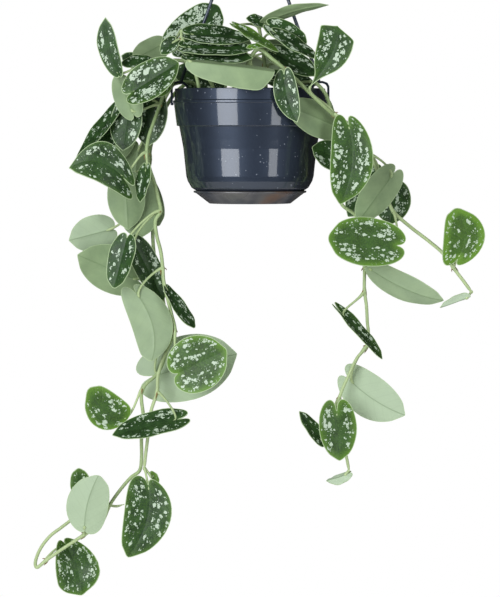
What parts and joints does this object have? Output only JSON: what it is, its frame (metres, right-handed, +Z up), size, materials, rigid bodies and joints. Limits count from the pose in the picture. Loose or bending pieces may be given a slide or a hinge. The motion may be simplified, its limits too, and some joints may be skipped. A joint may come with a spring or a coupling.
{
  "type": "satin pothos in a hanging pot",
  "caption": "Trailing satin pothos with silver-splashed heart-shaped leaves, in a round plastic hanging pot with a clip-on drip tray and a hooked wire-thin hanger.",
  "frame": {"origin": "inner top of the hanger's hook, where a rod or ceiling hook carries the plant", "axes": "+Z up, X along the hanger's two arms, -Y towards the plant's best side"},
  "size_m": [0.4488, 0.1936, 0.7485],
  "materials": {
    "pot_plastic": "glossy anthracite injection-moulded polypropylene",
    "tray_plastic": "slightly see-through anthracite polypropylene",
    "hanger_plastic": "glossy anthracite polypropylene",
    "potting_soil": "matte dark peat potting soil",
    "foliage": "satin dark green leaves splashed with silver, with a pale grey-green underside, on green stems"
  },
  "bodies": {
    "root": {"pot": "pot_plastic", "drip_tray": "tray_plastic", "hanger": "hanger_plastic", "soil": "potting_soil", "vine_left_front": "foliage", "vine_left_back": "foliage", "vine_left_upper": "foliage", "vine_left_rear": "foliage", "vine_right_long": "foliage", "vine_right_lower": "foliage", "crown_front": "foliage", "crown_right": "foliage", "crown_back": "foliage", "vine_rear_left": "foliage", "vine_rear_right": "foliage"}
  },
  "joints": []
}
